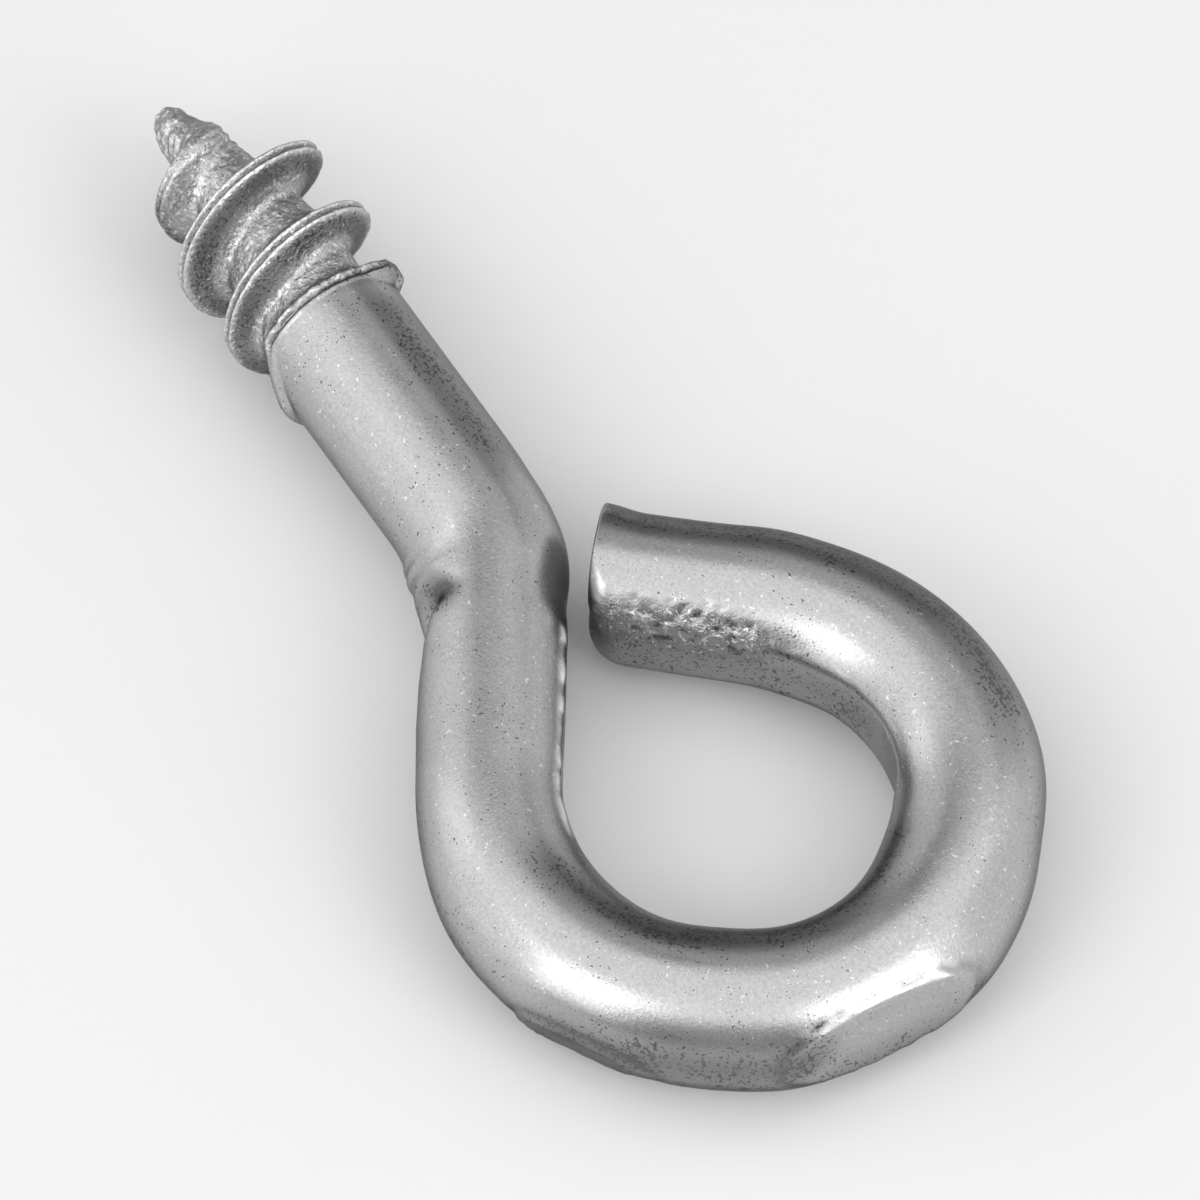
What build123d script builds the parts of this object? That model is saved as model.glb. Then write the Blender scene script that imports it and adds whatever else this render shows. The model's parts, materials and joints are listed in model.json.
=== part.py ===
from build123d import *
from math import atan2, cos, degrees, floor, pi, sin
import os

# A screw eye, bent from one piece of round steel wire. One end carries a rolled wood thread with
# a gimlet point. The other is cranked at a knee and bent round into an eye, and its cut end stops
# just short of the knee. While it is modelled, the shank runs along +X from the point and the eye
# lies in the XY plane. At the end it is laid down as it rests on a table.
# Lengths are in millimetres, and angles in degrees.

# Wire
wire_d = 3.4

# Shank and knee
shank_len = 12.6  # from the point to the start of the knee
knee_r = 3.0  # of the wire's centre line
knee_angle = 32

# Eye
leg_len = 5.1  # straight wire between the knee and the eye
dent_depth = 0.43  # pressed into the outer side of the leg, just past the knee
dent_place = 1.2  # of its deepest line, from the start of the leg
dent_before = 1.3  # how far it slopes up towards the knee, and away from it
dent_after = 2.4
eye_inside_d = 7.2  # between the flats that the bending pin left
pin_flat = 0.2  # how deep the pin flattened the inside of the eye
lead_in_r = 6.8
lead_in_angle = 21
round_angle = 229
let_out_r = 8.0
let_out_angle = 11
end_gap = 0.2  # between the cut end and the leg
roll_over = 0.5  # radius that the shears left on the cut end's inner corner

# Flats that the tools pressed on the outside of the eye, by their direction from its centre
crown_flat = 0.22
crown_flat_angle = -4
side_flat = 0.1
side_flat_angle = -60

# Thread: right-handed, with one start
thread_d = 4.16
root_d = 2.65
pitch = 1.86
crest_land = 0.2
tip_flank = 0.66  # slope that faces the point, along the axis
eye_flank = 0.4  # slope that faces the eye
thread_phase = 0.59  # turns from +Y at which the ridge would cross the point
tip_d = 0.7
point_len = 3.4  # cone under the thread
ridge_start = 0.7  # where the ridge rises from the point, how far it is at full height, where it sinks
full_start = 2.9
full_end = 6.1
ridge_end = 7.8
root_end = 5.9  # where the groove starts to run out into the shank
run_out = 1.0
ridge_sink = 0.12  # how far the ridge's foot reaches into the core

wire_r = wire_d / 2
thread_r = thread_d / 2
root_r = root_d / 2
tip_r = tip_d / 2
eye_r = eye_inside_d / 2 + wire_r - pin_flat  # of the wire's centre line


def ramp(x, *knots):
    """The height at x of straight runs through knots, level outside them."""
    if x <= knots[0][0]:
        return knots[0][1]
    for (x0, y0), (x1, y1) in zip(knots, knots[1:]):
        if x <= x1:
            return y0 + (y1 - y0) * (x - x0) / (x1 - x0)
    return knots[-1][1]


def core_radius(x):
    """The radius at the bottom of the groove."""
    return ramp(x, (0, tip_r), (point_len, root_r), (root_end, root_r), (root_end + run_out, wire_r))


def crest_radius(x):
    """The radius at the top of the ridge, which starts and ends below the core's surface."""
    start = core_radius(ridge_start) - ridge_sink / 2
    end = wire_r - ridge_sink / 2
    return ramp(x, (ridge_start, start), (full_start, thread_r), (full_end, thread_r), (ridge_end, end))


def ridge_profile():
    """The ridge's corners as (place along the axis, share of the thread's height), foot to foot."""
    tip_side = -crest_land / 2
    eye_side = crest_land / 2
    return [
        (tip_side - tip_flank, 0),
        (tip_side - 0.75 * tip_flank, 0.16),
        (tip_side - 0.25 * tip_flank, 0.84),
        (tip_side, 1),
        (eye_side, 1),
        (eye_side + 0.25 * eye_flank, 0.84),
        (eye_side + 0.75 * eye_flank, 0.16),
        (eye_side + eye_flank, 0),
    ]


def ridge_point(corner, turn):
    """Where one corner of the ridge is after that many turns from the point."""
    along, share = corner
    centre = pitch * turn
    core = core_radius(centre)
    height = crest_radius(centre) - core
    radius = core - ridge_sink + share * (height + ridge_sink)
    angle = 2 * pi * (turn - thread_phase)
    return Vector(centre + along, radius * cos(angle), radius * sin(angle))


def ridge():
    """The thread's ridge as ruled bands between the helices that its corners follow."""
    corners = ridge_profile()
    first = ridge_start / pitch
    last = ridge_end / pitch
    coils = floor(last - first) + 1
    steps = 16
    faces = []
    for coil in range(coils):
        turns = [first + (last - first) * (coil + step / steps) / coils for step in range(steps + 1)]
        helices = [Spline(*[ridge_point(corner, turn) for turn in turns]) for corner in corners]
        for one, other in zip(helices, helices[1:] + helices[:1]):
            faces.append(Face.make_surface_from_curves(one, other))
    for turn in (first, last):
        faces.append(Face(Polyline(*[ridge_point(corner, turn) for corner in corners], close=True).wire()))
    return Solid(Shell(faces))


def core():
    """The point and the bottom of the groove, turned about the shank's axis as far as the thread goes."""
    outline = Polyline(
        (0, 0),
        (0, tip_r),
        (point_len, root_r),
        (root_end, root_r),
        (root_end + run_out, wire_r),
        (ridge_end, wire_r),
        (ridge_end, 0),
        close=True,
    )
    return revolve(make_face(outline), Axis.X)


def centre_line():
    """The wire's centre line from the end of the thread: a round part, then the part along the pin."""
    shank = Line((ridge_end, 0), (shank_len, 0))
    knee = JernArc(shank @ 1, shank % 1, knee_r, -knee_angle)
    leg = Line(knee @ 1, knee @ 1 + leg_len * (knee % 1))
    lead_in = JernArc(leg @ 1, leg % 1, lead_in_r, lead_in_angle)
    eye = JernArc(lead_in @ 1, lead_in % 1, eye_r, round_angle)
    let_out = JernArc(eye @ 1, eye % 1, let_out_r, let_out_angle)
    heading = let_out % 1
    # The end is as long as leaves end_gap between its inner side and the leg.
    from_leg = (leg % 0).rotate(Axis.Z, 90)
    inner_corner = let_out @ 1 + wire_r * heading.rotate(Axis.Z, 90)
    room = (inner_corner - leg @ 0).dot(from_leg) - wire_r - end_gap
    end = Line(let_out @ 1, let_out @ 1 + heading * (room / -heading.dot(from_leg)))
    return Wire([shank, knee]), Wire([leg, lead_in, eye, let_out, end]), eye.center_point


def pressed_flat(centre, angle, depth):
    """The block that takes a flat of that depth off the outside of the eye."""
    reach = eye_r + wire_r - depth
    block = Box(wire_d, 2 * eye_r, 2 * wire_d, align=(Align.MIN, Align.CENTER, Align.CENTER))
    return Pos(centre) * Rot(0, 0, angle) * Pos(reach, 0, 0) * block


def sheared_corner(end, heading):
    """The block that rolls the cut end's inner corner over."""
    reach = roll_over + end_gap / 2
    corner = Rectangle(reach, reach, align=Align.MIN) - Circle(roll_over)
    block = extrude(Pos(-roll_over, wire_r - pin_flat - roll_over) * corner, wire_r, both=True)
    return Plane(end, x_dir=heading, z_dir=(0, 0, 1)) * block


def leg_dent(leg_start):
    """The wedge that presses the dent into the leg."""
    wedge = Polyline(
        (dent_place - dent_before, -wire_r),
        (dent_place, dent_depth - wire_r),
        (dent_place + dent_after, -wire_r),
        (dent_place, -wire_d),
        close=True,
    )
    block = extrude(make_face(wedge), wire_r, both=True)
    return Pos(leg_start) * Rot(0, 0, -knee_angle) * block


def bent_wire():
    """The wire beyond the thread, round up to the knee and flattened inside by the pin after it."""
    round_part, pin_part, centre = centre_line()
    round_section = Plane(round_part @ 0, z_dir=round_part % 0) * Circle(wire_r)
    inward = (pin_part % 0).rotate(Axis.Z, 90)
    pin_section = Circle(wire_r) & Pos(-pin_flat, 0) * Rectangle(wire_d, wire_d)
    pin_section = Plane(pin_part @ 0, x_dir=inward, z_dir=pin_part % 0) * pin_section
    wire = sweep(round_section, round_part)
    eye = sweep(pin_section, pin_part)
    eye -= sheared_corner(pin_part @ 1, pin_part % 1)
    eye -= pressed_flat(centre, crown_flat_angle, crown_flat)
    eye -= pressed_flat(centre, side_flat_angle, side_flat)
    return wire + eye - leg_dent(pin_part @ 0), centre


def laid_down(eye, centre):
    """Turned so that the thread's last full crest and the crown touch the table, and centred there."""
    crown_x = centre.X + eye_r
    tilt = degrees(atan2(thread_r - wire_r, crown_x - full_end))
    eye = Rot(0, tilt, 0) * eye
    box = eye.bounding_box()
    return Pos(-box.center().X, -box.center().Y, -box.min.Z) * eye


os.makedirs("parts", exist_ok=True)
bent, eye_centre = bent_wire()
screw_eye = laid_down(core() + ridge() + bent, eye_centre)
export_step(screw_eye, "parts/screw_eye.step")
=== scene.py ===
import json
from math import cos, radians, sin

import bpy
import numpy as np
from mathutils import Matrix, Vector, noise


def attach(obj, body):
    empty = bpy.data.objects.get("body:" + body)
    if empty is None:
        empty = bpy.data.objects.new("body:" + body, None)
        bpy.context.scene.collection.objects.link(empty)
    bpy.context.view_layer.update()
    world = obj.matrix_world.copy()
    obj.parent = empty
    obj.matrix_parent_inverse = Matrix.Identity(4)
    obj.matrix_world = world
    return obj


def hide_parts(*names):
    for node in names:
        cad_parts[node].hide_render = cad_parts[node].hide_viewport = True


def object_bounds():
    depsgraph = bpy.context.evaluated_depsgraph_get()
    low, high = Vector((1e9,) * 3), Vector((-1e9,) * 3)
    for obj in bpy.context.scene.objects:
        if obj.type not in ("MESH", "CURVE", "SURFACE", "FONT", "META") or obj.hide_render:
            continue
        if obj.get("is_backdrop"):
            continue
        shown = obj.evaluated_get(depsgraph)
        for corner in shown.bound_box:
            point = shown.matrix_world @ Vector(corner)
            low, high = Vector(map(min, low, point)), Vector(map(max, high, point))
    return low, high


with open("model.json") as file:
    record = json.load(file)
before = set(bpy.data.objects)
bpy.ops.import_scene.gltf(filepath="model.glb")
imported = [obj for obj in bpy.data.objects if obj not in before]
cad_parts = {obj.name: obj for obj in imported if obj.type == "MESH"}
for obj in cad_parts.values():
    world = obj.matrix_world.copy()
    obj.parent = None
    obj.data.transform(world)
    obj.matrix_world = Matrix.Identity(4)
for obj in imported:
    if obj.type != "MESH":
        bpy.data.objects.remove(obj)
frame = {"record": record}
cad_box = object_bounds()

# The screw eye's finished surface: one closed mesh of rings along the bent wire, with the rolled
# thread, the tool marks and the cut end, in a zinc-plated material. Lengths are in millimetres and
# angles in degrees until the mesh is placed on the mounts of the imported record, in metres.
# s is the distance along the wire from its point. phi is the angle round the wire: 0 faces into
# the eye, 90 up and 180 out of the eye. Widths round the wire are in radians.
MM = 0.001

# Wire and centre line, from the point to the cut end
wire_d = 3.4
shank_len = 12.6
knee_r = 3.0
knee_angle = 32
leg_len = 5.1
lead_in_r = 6.8
lead_in_angle = 21
eye_r = 5.1
round_angle = 229
let_out_r = 8.0
let_out_angle = 11
end_len = 3.35

wire_r = wire_d / 2
path = [
    # length, and turn in radians
    (shank_len, 0),
    (knee_r * radians(knee_angle), -radians(knee_angle)),
    (leg_len, 0),
    (lead_in_r * radians(lead_in_angle), radians(lead_in_angle)),
    (eye_r * radians(round_angle), radians(round_angle)),
    (let_out_r * radians(let_out_angle), radians(let_out_angle)),
    (end_len, 0),
]
eye_start = sum(length for length, turn in path[:4])
wire_len = sum(length for length, turn in path)

# Thread
root_d = 2.65
thread_d = 4.18
pitch = 1.86
crest_start = 1.1  # where the ridge would cross +Y near the point
crest_land = 0.24
tip_flank = 0.66  # slope that faces the point, along the axis
eye_flank = 0.52  # slope that faces the eye
seam_depth = 0.055
thread_end = 8.4
# its radii near the point, by s
root_rise = [
    (0, 0.13), (0.2, 0.32), (0.5, 0.46), (0.8, 0.53), (1.1, 0.61), (1.7, 0.71), (3.4, 1.12),
    (5, root_d / 2),
]
crest_rise = [
    (0, 0.2), (0.6, 0.5), (1.19, 0.66), (1.6, 1.1), (2.12, 1.62), (3.05, 2.05),
    (3.5, thread_d / 2),
]
# its crest's radius where it runs out, by turns from where the ridge would first cross +Y
crest_run_out = [
    (2.3, thread_d / 2), (2.55, 2.0), (2.8, 1.95), (2.93, 1.82), (3.0, 1.85), (3.05, 1.98),
    (3.1, 1.97), (3.16, wire_r), (3.42, wire_r), (3.55, 1.88), (3.8, wire_r),
]
# how the point is bent towards +Y, by s
point_bend = [
    (0, -0.08), (0.5, -0.17), (0.8, -0.13), (1.1, -0.03), (1.5, 0.05), (4.5, 0.05), (6.5, 0),
]

# Rings of the mesh
around = 140  # points in each
spans = [
    # from, to, and the step between rings
    (0, thread_end, 0.031),
    (thread_end, 12, 0.16),
    (12, 13.6, 0.08),
    (13.6, 16.6, 0.05),
    (16.6, 29, 0.13),
    (29, 33, 0.06),
    (33, 43, 0.13),
    (43, wire_len - 1.0, 0.07),
]
rings_to_rim = 6
rings_over_rim = 7
rings_on_face = 7
least_r = 0.02  # that a ring keeps while it closes in on the rim

# Where the wire has spread and bulged, or been drawn thinner
swellings = [
    # height, s, reach along the wire, phi, width round it
    (0.17, 13.0, 0.55, 200, 0.6),
    (0.17, 13.9, 0.5, 188, 0.5),
    (-0.13, 14.9, 0.7, 8, 0.6),
    (-0.06, 12.9, 0.8, 15, 0.7),
    (0.05, 17.3, 1.8, 0, 0.8),
    (-0.03, 18.3, 2.4, 185, 1.0),
    (0.09, 22.3, 1.4, 185, 1.0),
    (0.07, 24.4, 0.55, 187, 0.8),
    (0.10, 27.6, 1.5, 25, 0.8),
    (0.09, 29.0, 0.9, 185, 1.0),
    (0.07, 31.9, 0.3, 187, 0.8),
    (0.07, 32.7, 0.8, 185, 1.0),
    (0.10, 34.4, 1.7, 4, 0.8),
    (-0.12, 35.4, 1.0, 188, 0.8),
    (0.05, 42.0, 1.2, -32, 0.7),
    (0.05, 43.4, 0.9, 150, 0.7),
]

# The flat that the bending pin left along the inside, as (s, value): the way it faces, how deep it
# is, how soft its edges are, and how far the metal beside them is raised
pin_phi = [(15, -1), (19, -1), (20.7, 5), (25, 3), (36, -2), (40, 5), (43, 6), (45, 2), (47, 1)]
pin_depth = [
    (15.2, 0), (15.7, 0.12), (17, 0.17), (19, 0.21), (22, 0.19), (24, 0.12), (26, 0.03), (34, 0.03),
    (36, 0.08), (37, 0.18), (38.5, 0.17), (40, 0.12), (41, 0.08), (43, 0.08), (45, 0.2), (47, 0.27),
]
pin_soft = [(38, 0.01), (42, 0.04), (45, 0.16), (47, 0.26)]
pin_raised = [(15.2, 0), (15.8, 1.8), (20.5, 1.8), (22.5, 0.2), (36, 0.2), (38, 0.4), (47, 0.2)]
pin_press = 0.97  # share of the metal over the flat that is pressed away

# The press mark on the outer side of the knee, as (s at the wire's mid-height, depth): it deepens
# up to a crease, and fades out along the leg
knee_mark = [
    (14.65, 0), (14.95, 0.14), (15.1, 0.27), (15.25, 0.45), (15.4, 0.63), (15.52, 0.62),
    (15.7, 0.43), (16.0, 0.33), (16.3, 0.22), (17.0, 0.07), (18.0, 0),
]

# The flats that the tools pressed on the outside of the eye
outer_flats = [
    # direction from the eye's centre, how far that rises out of its plane, depth
    (-2.5, 8, 0.27),
    (-61, -18, 0.08),
]
outer_edge = 0.03  # how far their edges are raised
outer_press = 0.98

# Bands of painted shade: along the shank, round the inside and the outside of the eye, and along
# its end
painted_shade_bands = [
    # how dark, width, start and end with how soft each is, and the band's middle as (s, phi)
    (0.9, 0.35, (6.9, 0.8), (13.2, 1.5), [(0, 55)]),
    (1.2, 0.3, (21.5, 1.5), (35.3, 1.5), [(22, 78), (28, 56), (34, 40)]),
    (1.3, 0.4, (23.6, 1.5), (30.2, 1.2), [(24, 184), (27, 168)]),
    (0.9, 0.4, (15.8, 1), (40, 3), [(20, 188), (25, 205)]),
    (1.3, 0.33, (35.5, 3), (wire_len, 0.2), [(0, 128)]),
    (0.9, 0.5, (38, 2), (wire_len, 0.1), [(0, 2)]),
]

faint = 0.05  # a mask or a band below this is left out

# Colours
dull_zinc = (0.41, 0.41, 0.407, 1)
clean_zinc = (0.59, 0.59, 0.585, 1)
# a brighter grey for painted glints and for bright specks
glint_and_speck_zinc = (0.8, 0.8, 0.79, 1)
# a dark grey for painted shade
painted_shade_grey = (0.2, 0.2, 0.2, 1)
pit_grey = (0.15, 0.15, 0.15, 1)
floor_grey = (0.74, 0.74, 0.74, 1)

# Floor and light, in metres
floor_half = 0.5
world_light = 0.18
lamp_distance = 0.3
softboxes = [
    # name, azimuth, elevation, width, height, radiance
    ("left_box", 12, 31, 0.13, 0.24, 2.1),
    ("right_box", 105, 22, 0.15, 0.32, 2.5),
    ("left_side", -28, 22, 0.34, 0.28, 1.0),
    ("right_side", 144, 22, 0.34, 0.28, 0.7),
    ("overhead", 58, 78, 0.60, 0.50, 1.07),
    ("back_box", 206, 46, 0.36, 0.10, 0.5),
    ("far_left", -73, 20, 0.26, 0.30, 0.6),
    ("far_back", 190, 12, 0.20, 0.20, 0.5),
    ("front_fill", 58, 20, 0.12, 0.30, 0.33),
]

# Camera, in the wire's own frame
camera_azimuth = 57.98
camera_elevation = 58
camera_distance = 669
camera_aim = (15.17, 1.66, -1.07)
shown_width = 26.06  # at that distance
sensor_width = 36


def smooth(t):
    """A soft step from 0 to 1."""
    t = np.clip(t, 0, 1)
    return t * t * (3 - 2 * t)


def bell(t):
    """A soft bump, 1 at 0."""
    return np.exp(-t * t)


def through(x, knots):
    """The height at x of straight runs through knots, level outside them."""
    places, heights = zip(*knots)
    return np.interp(x, places, heights)


def apart(phi, angle):
    """How far round the wire phi is from an angle in degrees, in radians from -pi to pi."""
    return (phi - np.radians(angle) + np.pi) % (2 * np.pi) - np.pi


def grain(points, per_mm, where):
    """Soft random bumps of that many per millimetre, from about -1 to 1, where a mask is set."""
    flat = points.reshape(-1, 3) * per_mm
    bumps = np.zeros(len(flat))
    chosen = np.flatnonzero(where.reshape(-1))
    bumps[chosen] = [noise.noise(Vector(flat[i])) for i in chosen]
    return bumps.reshape(points.shape[:-1])


def along(s):
    """The centre line's x, y and heading at distances s from the point."""
    x, y, heading = np.zeros_like(s), np.zeros_like(s), np.zeros_like(s)
    start, px, py, angle = 0.0, 0.0, 0.0, 0.0
    for length, turn in path:
        here = s >= start
        t = s[here] - start
        now = angle + turn * t / length
        if turn:
            radius = length / turn
            x[here] = px + radius * (np.sin(now) - np.sin(angle))
            y[here] = py - radius * (np.cos(now) - np.cos(angle))
            px, py = (
                px + radius * (np.sin(angle + turn) - np.sin(angle)),
                py - radius * (np.cos(angle + turn) - np.cos(angle)),
            )
        else:
            x[here] = px + t * np.cos(angle)
            y[here] = py + t * np.sin(angle)
            px, py = px + length * np.cos(angle), py + length * np.sin(angle)
        heading[here] = now
        start, angle = start + length, angle + turn
    return x, y, heading


def eye_centre():
    """The middle of the eye's round part."""
    x, y, heading = (float(value[0]) for value in along(np.array([eye_start])))
    return np.array([x - eye_r * np.sin(heading), y + eye_r * np.cos(heading), 0])


def flank(t):
    """A crest's side: rounded over at 0, steep, then hollow down to the root at 1."""
    t = np.clip(t, 0, 1)
    return (1 - t * t / (t + 0.12)) ** 3.2


def crest_folds(x, phi, off, along_crest):
    """The fine relief on a crest, in shares of seam_depth, and the shade painted on it.

    off is how far a point lies behind the crest, along the axis. The painted shade is below 0 on
    lips and beads, where highlights are painted."""
    # the rolled crest's two lips with the seam between them
    rolled = (np.abs(off) < 0.3) * smooth(x - off - 1.5) * smooth((2.9 - along_crest) / 0.2)
    lips = bell((off - 0.1) / 0.05) + bell((off + 0.1) / 0.05)
    seam = rolled * bell(off / 0.04)
    # the torn ridge where the groove ends against the shank: beads, a crack and a low edge
    ended = smooth((along_crest - 3.08) / 0.06) * smooth((3.48 - along_crest) / 0.06)
    beads = 0.7 + 0.5 * np.cos(23 * phi) * np.cos(9 * phi)
    torn = ended * beads * bell((off + 0.08) / 0.08)
    crack = ended * bell((off - 0.05) / 0.04)
    edge = 0.5 * ended * bell((off - 0.13) / 0.05)
    relief = rolled * lips - 1.2 * seam + 1.2 * torn - crack * beads + edge
    # painted shade in the seam and the crack, and painted highlights on the lips and the beads
    dark = 1.2 * (seam + crack) - 0.8 * rolled * lips - 1.2 * torn
    return relief, dark


def thread_radius(x, phi):
    """The thread's surface, as a radius about the shank's axis, and the shade and highlights
    painted on its folds.
    """
    # The last ridge stays beside the shank where it faces up, instead of following the helix.
    held_back = pitch * through(np.degrees(phi), [(0, 0.05), (155, 0.43), (190, 0.05)])
    at = x + held_back * smooth((x - 5.7) / 0.9)
    waver = 0.025 * np.cos(phi - radians(18))
    turns = (at - crest_start) / pitch - phi / (2 * np.pi) + waver
    groove = np.floor(turns)
    after = (turns - groove) * pitch  # behind one crest
    before = pitch - after  # in front of the next
    off = np.where(before < after, -before, after)  # from the nearest
    # turns from the first crossing of +Y, along the groove and along the nearest crest
    along_groove = groove + phi / (2 * np.pi)
    along_crest = along_groove + (before < after)
    behind = eye_flank * through(along_groove, [(0.3, 1.6), (1.2, 1), (2.7, 1), (3.0, 0.5)])
    share = np.maximum(
        flank((after - crest_land / 2) / behind),
        flank((before - crest_land / 2) / tip_flank),
    )
    root = through(x, root_rise)
    root = root + (wire_r - root) * smooth((along_groove - 2.3) / 0.5)
    crest = np.minimum(through(x - off, crest_rise), through(along_crest, crest_run_out))
    crest = np.maximum(crest, root)
    relief, dark = crest_folds(x, phi, off, along_crest)
    # fine folds round the point
    folds = 0.02 * np.cos(2 * np.pi * off / 0.24)
    folds = folds * smooth((x - 0.7) / 0.3) * smooth((2.3 - x) / 0.6)
    return root + (crest - root) * share + seam_depth * relief + folds, dark


def rings():
    """Distances along the wire at which the mesh has a ring, short of the cut end."""
    runs = [
        np.linspace(start, end, round((end - start) / step), endpoint=False)
        for start, end, step in spans
    ]
    return np.concatenate(runs)


def cut_end(phi, last):
    """The rings from the last plain one to the middle of the cut end.

    For each ring, how far along the wire its points are, how far in from the wire's side, and then
    what share of their distance from its middle is left."""
    # The rim is rolled over on the side of the leg.
    rim = 0.1 + 0.8 * smooth((np.cos(phi + 0.3) + 0.3) / 1.3)
    none, whole = np.zeros(around), np.ones(around)
    rows = []
    for t in np.linspace(0, 1, rings_to_rim + 1)[1:]:
        rows.append((last + (wire_len - rim - last) * t, none, whole))
    for t in np.linspace(0, np.pi / 2, rings_over_rim + 1)[1:]:
        rows.append((wire_len - rim * (1 - np.sin(t)), rim * (1 - np.cos(t)), whole))
    for t in np.linspace(1, 0, rings_on_face + 2)[1:-1]:
        rows.append((wire_len * whole, rim, t * whole))
    return np.array(rows)


def surface():
    """Rings of points over the whole wire, in its own frame: the tip at 0, the shank along +X.

    Also how coarse the finish is at each point, from 0 to 1, and the shade painted on it: 1 where
    it is painted dark, and below 0 where highlights are painted."""
    phi = np.linspace(0, 2 * np.pi, around, endpoint=False)
    phi = phi - 0.35 * np.sin(phi - radians(70))  # closer together on the upper side
    s = np.repeat(rings()[:, None], around, axis=1)
    end = cut_end(phi, s[-1, 0])
    inset = np.concatenate([np.zeros_like(s), end[:, 1]])
    shrink = np.concatenate([np.ones_like(s), end[:, 2]])
    s = np.concatenate([s, end[:, 0]])
    phi = np.repeat(phi[None, :], len(s), axis=0)

    threaded = s < thread_end
    radius, dark = thread_radius(s, phi)
    radius, coarse, shade_and_glint = roughened(s, phi, np.where(threaded, radius, wire_r))
    shade_and_glint = shade_and_glint + np.where(threaded, dark, 0)
    u = radius * np.cos(phi)
    w = radius * np.sin(phi)
    u = u + through(s, point_bend)
    u, w, shade_and_glint = tool_marks(s, u, w, phi, shade_and_glint)
    size = np.hypot(u, w)
    keep = np.maximum(size - inset, least_r) / size * shrink
    u, w = u * keep, w * keep
    x, y, heading = along(s)
    x = x - u * np.sin(heading)
    y = y + u * np.cos(heading)
    points, shade_and_glint = pressed_flats(np.stack([x, y, w], axis=-1), shade_and_glint)
    return points, coarse, shade_and_glint


def roughened(s, phi, radius):
    """The radius after the dies and the shears have torn it, how coarse it is, and the shade
    painted on it.
    """
    places = np.stack([s, radius * np.cos(phi), radius * np.sin(phi)], axis=-1)
    rolled = smooth((7.0 - s) / 0.6)
    near_thread = rolled > 0
    tip = smooth((1.6 - s) / 1.4)
    bumps = 0.018 * grain(places, 2.9, near_thread) + 0.016 * grain(places, 6.1, near_thread)
    flanks = rolled * smooth((radius - 1.4) / 0.25) * smooth((2.04 - radius) / 0.06)
    radius = radius + rolled * bumps * (1 + tip) + 0.06 * tip * grain(places, 2.3, near_thread)
    # a chip of metal left between two crests
    radius = radius + 0.08 * bell((s - 5.45) / 0.17) * bell(apart(phi, 192) / 0.35)
    # the pitted strip along the inside of the eye's last stretch
    from_end = wire_len - s
    strip = smooth(from_end / 0.5) * smooth((4.6 - from_end) / 1.2)
    strip = strip * bell(apart(phi, 26) / through(from_end, [(0, 0.3), (2.5, 0.38), (5, 0.22)]))
    near_strip = strip > faint
    pits = np.maximum(grain(places, 4.5, near_strip) - 0.06, 0)
    radius = radius + strip * (0.05 * grain(places, 2.7, near_strip) - 0.22 * pits)
    # the burr on the cut end's inner rim
    burr = smooth((0.9 - from_end) / 0.5) * bell(apart(phi, -5) / 0.7)
    radius = radius + 0.05 * burr * grain(places, 4.5, burr > faint)
    # painted shade on the flanks, less at the roots, over the pitted strip and deeper in its pits,
    # and in bands along the wire
    roots = rolled * smooth((1.5 - radius) / 0.15) * smooth((s - 2.4) / 0.5)
    shade_and_glint = np.maximum(flanks - 0.35 * roots, strip * (0.3 + 3.0 * pits))
    for depth, width, (start, soft_start), (end, soft_end), middle in painted_shade_bands:
        band = depth * bell(apart(phi, through(s, middle)) / width)
        band = band * smooth((s - start) / soft_start) * smooth((end - s) / soft_end)
        shade_and_glint = np.where(band > faint, np.maximum(shade_and_glint, band), shade_and_glint)
    return radius, np.maximum(0.8 * rolled, smooth(strip * 1.6)), shade_and_glint


def pressed(u, w, angle, depth, soft):
    """The section with a soft-edged flat pressed in at an angle, and the height above the flat."""
    over = u * np.cos(angle) + w * np.sin(angle) - (wire_r - depth)
    over = np.where(depth > 0, over, -1)
    cut = pin_press * (over + np.sqrt(over * over + soft * soft)) / 2
    return u - cut * np.cos(angle), w - cut * np.sin(angle), over


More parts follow.
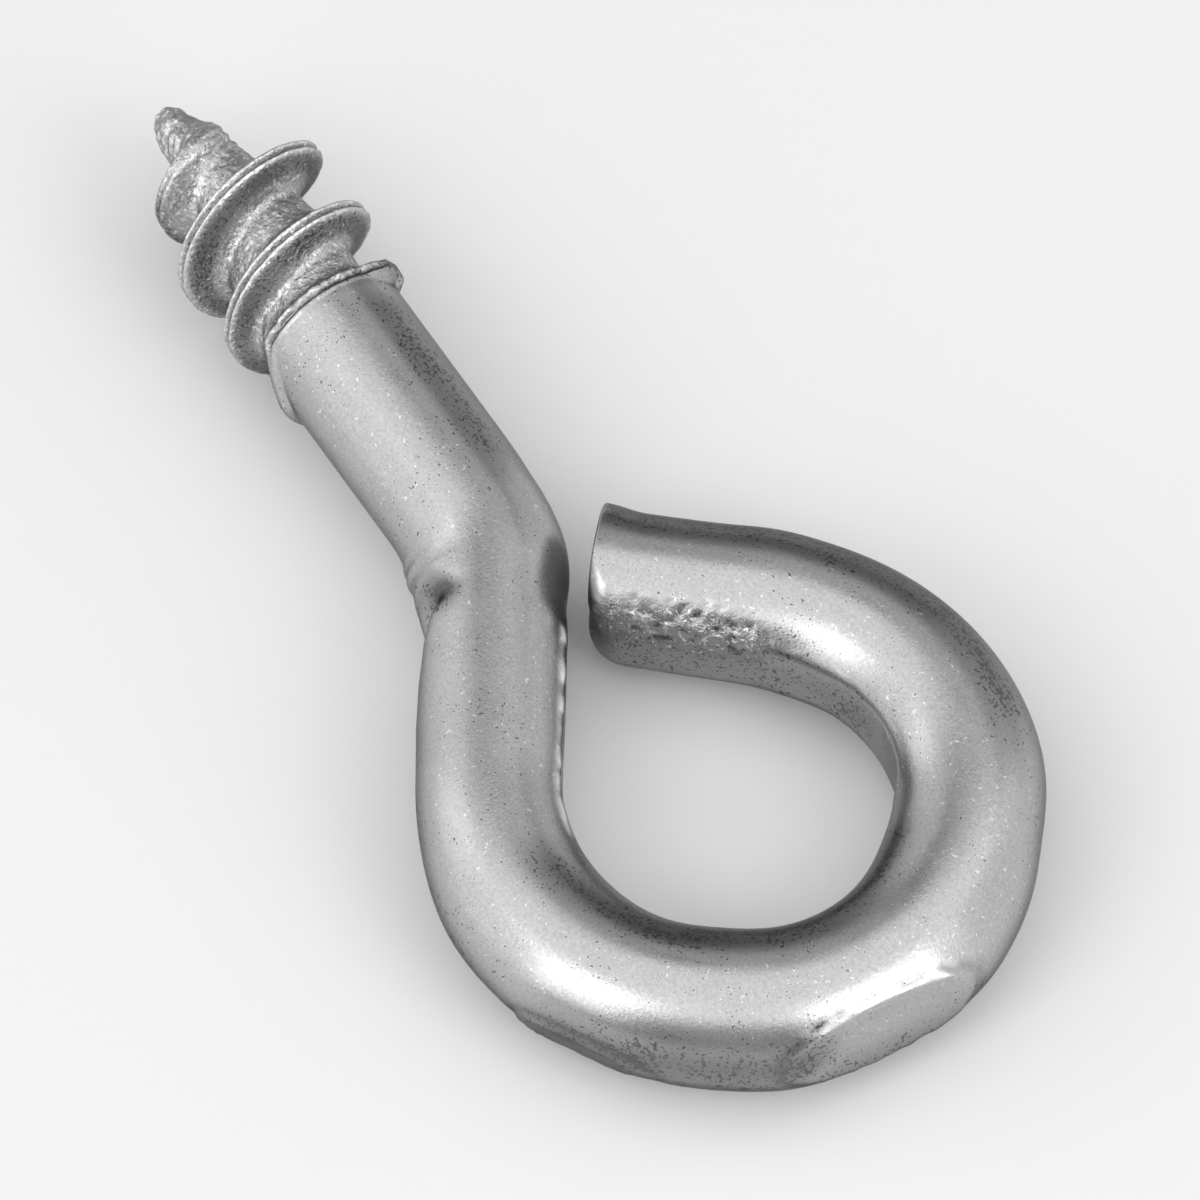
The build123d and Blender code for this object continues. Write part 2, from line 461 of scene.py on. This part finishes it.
def tool_marks(s, u, w, phi, shade_and_glint):
    """The section after the tools have bent, pressed and cut it. u points into the eye, w up."""
    uneven = grain(np.stack([s, u, w], axis=-1), 2.2, s > shank_len)
    swell = np.zeros_like(s)
    for height, middle, reach, angle, width in swellings:
        swell = swell + height * bell((s - middle) / reach) * bell(apart(phi, angle) / width)
    # the flat that the pin left along the inside, with a raised edge where glints are painted
    depth = through(s, pin_depth)
    angle = np.radians(through(s, pin_phi))
    u, w, over = pressed(u, w, angle, depth, through(s, pin_soft))
    on_edge = bell((over + 0.06) / 0.06) * (depth > 0)
    raised = through(s, pin_raised)
    swell = swell + 0.035 * on_edge * raised * (0.9 + 0.9 * uneven)
    edge_glint = on_edge * smooth((raised - 0.4) / 0.5) * smooth((uneven + 0.15) / 0.3)
    # the press mark at the knee, which lies askew, and the dimple and the rim above it
    askew = s + 0.22 * w
    width = through(askew, [(15.3, 0.48), (16.2, 0.5)])
    angle = through(askew, [(15.3, 172), (16.2, 188)])
    swell = swell - through(askew, knee_mark) * bell(apart(phi, angle) / width)
    dimple = bell((s - 15.2) / 0.36) * bell(apart(phi, 136) / 0.31)
    rim = bell((askew - 15.85) / 0.2) * bell(apart(phi, 138) / 0.3)
    swell = swell - 0.08 * dimple + 0.02 * rim * (1 + uneven)
    # where shade is painted over the press mark
    mark_shade = smooth((askew - 14.4) / 0.6) * smooth((15.7 - askew) / 0.15)
    mark_shade = mark_shade * bell(apart(phi, 160) / 0.62)
    # the flare that the shears drew out on the outer side of the cut end
    swell = swell + 0.12 * smooth(1 - (wire_len - s)) * bell(apart(phi, 150) / 0.7)
    # painted shade on the press mark and deeper in the dimple, and painted glints along the pin
    # flat's raised edge
    shade_and_glint = shade_and_glint + 0.6 * mark_shade + 2.2 * dimple - 2 * edge_glint
    return u + swell * np.cos(phi), w + swell * np.sin(phi), shade_and_glint


def pressed_flats(points, shade_and_glint):
    """The flats on the outside of the eye, each with a raised edge and a furrow beside it, where
    shade is painted.
    """
    centre = eye_centre()
    uneven = grain(points, 2.6, points[..., 0] > centre[0] - eye_r)
    outward = points - centre
    ring = np.linalg.norm(outward[..., :2], axis=-1, keepdims=True)
    outward[..., :2] = outward[..., :2] * (1 - eye_r / ring)
    outward = outward / wire_r
    for turn, rise, depth in outer_flats:
        turn, rise = radians(turn), radians(rise)
        normal = np.array([cos(turn) * cos(rise), sin(turn) * cos(rise), sin(rise)])
        over = (points - centre) @ normal - (eye_r * cos(rise) + wire_r - depth)
        furrow = bell((over + 0.13) / 0.05)
        raised = bell((over + 0.03) / 0.035) - 0.7 * furrow + 0.3 * bell((over - 0.1) / 0.03)
        raised = outer_edge * raised * (0.7 + 1.6 * uneven)
        cut = np.maximum(over, 0)[..., None] * outer_press
        points = points - cut * normal + raised[..., None] * outward
        # painted shade in the furrow
        shade_and_glint = shade_and_glint + 0.5 * furrow
    return points, shade_and_glint


def placed():
    """From the wire's own frame in millimetres to the part's in metres, by the record's mounts."""
    mounts = {mount["name"]: mount for mount in frame["record"]["mounts"]}
    x_axis = -Vector(mounts["thread"]["axis"])
    z_axis = Vector(mounts["eye"]["axis"])
    y_axis = z_axis.cross(x_axis)
    turn = Matrix((x_axis, y_axis, z_axis)).transposed()
    at = Vector(mounts["eye"]["pos_m"]) - turn @ (Vector(eye_centre()) * MM)
    return Matrix.Translation(at) @ turn.to_4x4() @ Matrix.Scale(MM, 4)


def linked(name, data):
    """A new object in the scene."""
    thing = bpy.data.objects.new(name, data)
    bpy.context.collection.objects.link(thing)
    return thing


def screw_eye_mesh(place):
    """The finished surface as one closed mesh, with what the material reads at each point."""
    points, coarse, shade_and_glint = surface()
    count = len(points)
    base = np.arange(count * around).reshape(count, around)
    beside = np.roll(base, -1, axis=1)
    quads = np.stack([base[:-1], beside[:-1], beside[1:], base[1:]], axis=-1).reshape(-1, 4)
    faces = quads[:, ::-1].tolist() + [base[0].tolist(), base[-1][::-1].tolist()]
    mesh = bpy.data.meshes.new("screw_eye_finished")
    mesh.from_pydata(points.reshape(-1, 3).tolist(), [], faces)
    mesh.transform(place)
    mesh.shade_smooth()
    for name, values in (("coarse", coarse), ("shade_and_glint", shade_and_glint)):
        attribute = mesh.attributes.new(name, "FLOAT", "POINT")
        attribute.data.foreach_set("value", values.reshape(-1))
    mesh.update()
    return linked("screw_eye_finished", mesh)


def new_material(name):
    """A material and its shader."""
    material = bpy.data.materials.new(name)
    material.use_nodes = True
    return material, material.node_tree.nodes["Principled BSDF"]


def zinc_plated_steel():
    """Dull zinc over drawn wire, grainy and speckled, and coarser where the tools tore it."""
    material, shader = new_material("zinc_plated_steel")
    nodes, links = material.node_tree.nodes, material.node_tree.links
    shader.inputs["Metallic"].default_value = 1.0
    shader.inputs["Specular Tint"].default_value = (0.4, 0.4, 0.4, 1)
    position = nodes.new("ShaderNodeTexCoord").outputs["Object"]

    def feed(socket, value):
        """A number or a colour set on the socket, or another node's output linked to it."""
        if isinstance(value, bpy.types.NodeSocket):
            links.new(value, socket)
        else:
            socket.default_value = value

    def attribute(name):
        node = nodes.new("ShaderNodeAttribute")
        node.attribute_name = name
        return node.outputs["Fac"]

    def noise_at(per_mm, detail, rough=0.6):
        node = nodes.new("ShaderNodeTexNoise")
        feed(node.inputs["Scale"], per_mm / MM)
        feed(node.inputs["Detail"], detail)
        feed(node.inputs["Roughness"], rough)
        feed(node.inputs["Vector"], position)
        return node.outputs["Fac"]

    def ranged(value, low, high, to_low, to_high):
        node = nodes.new("ShaderNodeMapRange")
        feed(node.inputs["From Min"], low)
        feed(node.inputs["From Max"], high)
        feed(node.inputs["To Min"], to_low)
        feed(node.inputs["To Max"], to_high)
        feed(node.inputs["Value"], value)
        return node.outputs["Result"]

    def maths(operation, one, other):
        node = nodes.new("ShaderNodeMath")
        node.operation = operation
        feed(node.inputs[0], one)
        feed(node.inputs[1], other)
        return node.outputs["Value"]

    def mixed(share, one, other):
        node = nodes.new("ShaderNodeMix")
        node.data_type = "RGBA"
        feed(node.inputs["Factor"], share)
        feed(node.inputs["A"], one)
        feed(node.inputs["B"], other)
        return node.outputs["Result"]

    coarse, shade_and_glint = attribute("coarse"), attribute("shade_and_glint")
    # colour: a mottled grey, darker where shade is painted and brighter where glints are painted
    mottle = ranged(noise_at(12, 4, 0.7), 0.3, 0.7, 0, 1)
    colour = mixed(mottle, dull_zinc, clean_zinc)
    colour = mixed(maths("MULTIPLY", shade_and_glint, 0.65), colour, painted_shade_grey)
    colour = mixed(maths("MULTIPLY", shade_and_glint, -0.8), colour, glint_and_speck_zinc)
    # dark pits, closer together where shade is painted, and a few bright specks, more where it is
    # coarse and where glints are painted
    cluster = ranged(noise_at(0.7, 3), 0.38, 0.62, 0.72, 0.62)
    pitted = maths("SUBTRACT", cluster, maths("MULTIPLY", shade_and_glint, 0.13))
    dark = ranged(maths("SUBTRACT", noise_at(12, 2), pitted), 0.0, 0.05, 0, 1)
    colour = mixed(dark, colour, pit_grey)
    # fewer bright specks under painted shade, more on painted glints
    speck_boost = maths("MULTIPLY", maths("SUBTRACT", coarse, shade_and_glint), 0.12)
    speck = maths("ADD", noise_at(8.3, 2), speck_boost)
    feed(shader.inputs["Base Color"], mixed(ranged(speck, 0.66, 0.71, 0, 1), colour, glint_and_speck_zinc))
    # roughness: clouded, and higher where it is coarse
    cloud = ranged(noise_at(0.8, 4), 0.3, 0.7, 0.25, 0.33)
    feed(shader.inputs["Roughness"], maths("ADD", cloud, maths("MULTIPLY", coarse, 0.04)))
    # bump: fine grain everywhere, and crumbled where it is coarse
    fine = maths("MULTIPLY", noise_at(15, 3, 0.65), 0.005)
    crumbled = maths("MULTIPLY", maths("MULTIPLY", noise_at(6, 3, 0.65), 0.07), coarse)
    bump = nodes.new("ShaderNodeBump")
    feed(bump.inputs["Strength"], 1.0)
    feed(bump.inputs["Distance"], MM)
    feed(bump.inputs["Height"], maths("ADD", fine, crumbled))
    feed(shader.inputs["Normal"], bump.outputs["Normal"])
    return material


def pale_floor(height):
    """The floor that the object lies on."""
    mesh = bpy.data.meshes.new("floor")
    corners = [(-1, -1), (1, -1), (1, 1), (-1, 1)]
    corners = [(x * floor_half, y * floor_half, height) for x, y in corners]
    mesh.from_pydata(corners, [], [(0, 1, 2, 3)])
    floor = linked("floor", mesh)
    material, shader = new_material("floor")
    shader.inputs["Base Color"].default_value = floor_grey
    shader.inputs["Roughness"].default_value = 1.0
    floor.data.materials.append(material)
    floor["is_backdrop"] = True


def pale_world():
    """Even white light from all round."""
    world = bpy.data.worlds.new("studio")
    bpy.context.scene.world = world
    world.use_nodes = True
    background = world.node_tree.nodes["Background"]
    background.inputs["Color"].default_value = (1, 1, 1, 1)
    background.inputs["Strength"].default_value = world_light


def towards(azimuth, elevation):
    """The direction of an azimuth, 0 along -Y, and an elevation above the floor."""
    a, e = radians(azimuth), radians(elevation)
    return Vector((sin(a) * cos(e), -cos(a) * cos(e), sin(e)))


def lamp(name, azimuth, elevation, width, height, radiance, aim):
    """A softbox that faces the object."""
    back = towards(azimuth, elevation)
    light = bpy.data.lights.new(name, "AREA")
    light.shape = "RECTANGLE"
    light.size = width
    light.size_y = height
    light.energy = radiance * np.pi * width * height
    thing = linked(name, light)
    thing.location = aim + back * lamp_distance
    thing.rotation_mode = "QUATERNION"
    thing.rotation_quaternion = (-back).to_track_quat("-Z", "Y")


def camera(place):
    """A long lens that looks down on the upper side, with the horizon level."""
    back = towards(camera_azimuth, camera_elevation)
    right = towards(camera_azimuth + 90, 0)
    up = back.cross(right)
    lens = bpy.data.cameras.new("camera")
    lens.sensor_width = sensor_width
    lens.lens = sensor_width * camera_distance / shown_width
    lens.clip_start = 0.01
    lens.clip_end = 10
    thing = linked("camera", lens)
    turn = Matrix((right, up, back)).transposed()
    seat = Matrix.Translation(Vector(camera_aim) + back * camera_distance) @ turn.to_4x4()
    whole = place @ seat
    thing.location = whole.translation
    thing.rotation_mode = "QUATERNION"
    thing.rotation_quaternion = whole.to_3x3().normalized().to_quaternion()
    bpy.context.scene.camera = thing


place = placed()
piece = screw_eye_mesh(place)
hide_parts("screw_eye")
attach(piece, "root")
piece.data.materials.append(zinc_plated_steel())
pale_floor(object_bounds()[0].z)
pale_world()
middle = (cad_box[0] + cad_box[1]) / 2
for softbox in softboxes:
    lamp(*softbox, middle)
camera(place)
bpy.context.scene.view_settings.view_transform = "Standard"
